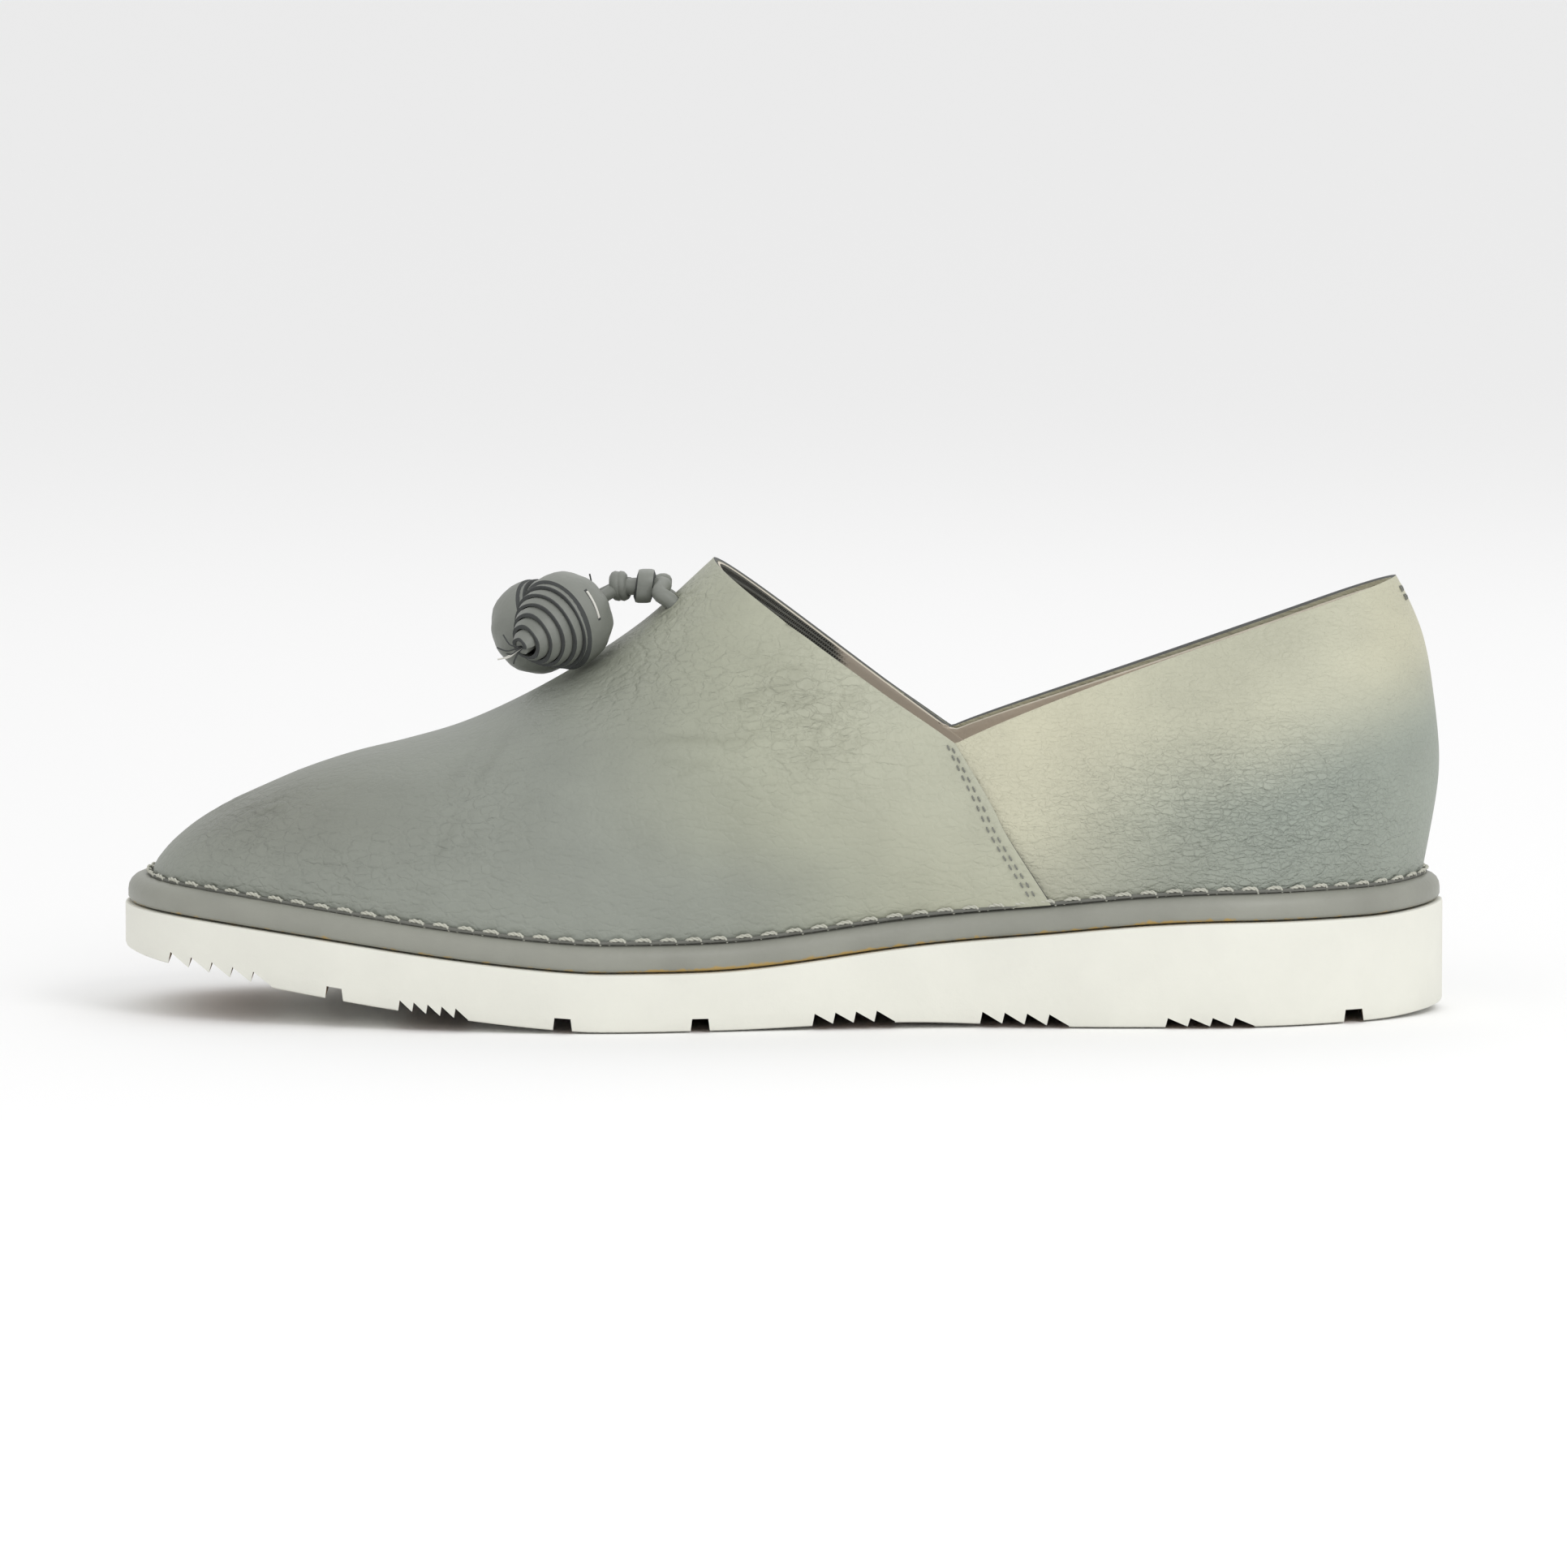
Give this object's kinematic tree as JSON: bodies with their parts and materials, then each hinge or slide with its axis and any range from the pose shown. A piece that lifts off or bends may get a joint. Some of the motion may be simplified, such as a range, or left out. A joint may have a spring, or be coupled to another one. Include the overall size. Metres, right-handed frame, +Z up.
{
  "type": "slip-on loafer",
  "caption": "Left slip-on loafer: pointed almond toe, high vamp lapped over low quarters, tassels on a cord, wrapped rand and white notched wedge sole.",
  "frame": {"origin": "on the floor, at the centre of the shoe's outline seen from above", "axes": "+Z up, the toe points along -X and the heel along +X, the lateral side is -Y and the medial side +Y"},
  "size_m": [0.2724, 0.0939, 0.0924],
  "materials": {
    "sole_rubber": "warm off-white, satin",
    "rand_leather": "mid grey, smooth, low gloss",
    "upper_leather": "greenish beige-grey, waxed and rubbed, soft gloss",
    "insole_board": "dark grey, matte",
    "footbed_leather": "cream, matte",
    "tassel_leather": "mid grey, low gloss"
  },
  "bodies": {
    "root": {"outsole": "sole_rubber", "rand": "rand_leather", "upper": "upper_leather", "insole": "insole_board", "footbed": "footbed_leather", "vamp_cord": "tassel_leather", "cord_wrap": "tassel_leather", "cord_knot": "tassel_leather", "tassel_lateral": "tassel_leather", "tassel_medial": "tassel_leather"}
  },
  "joints": []
}
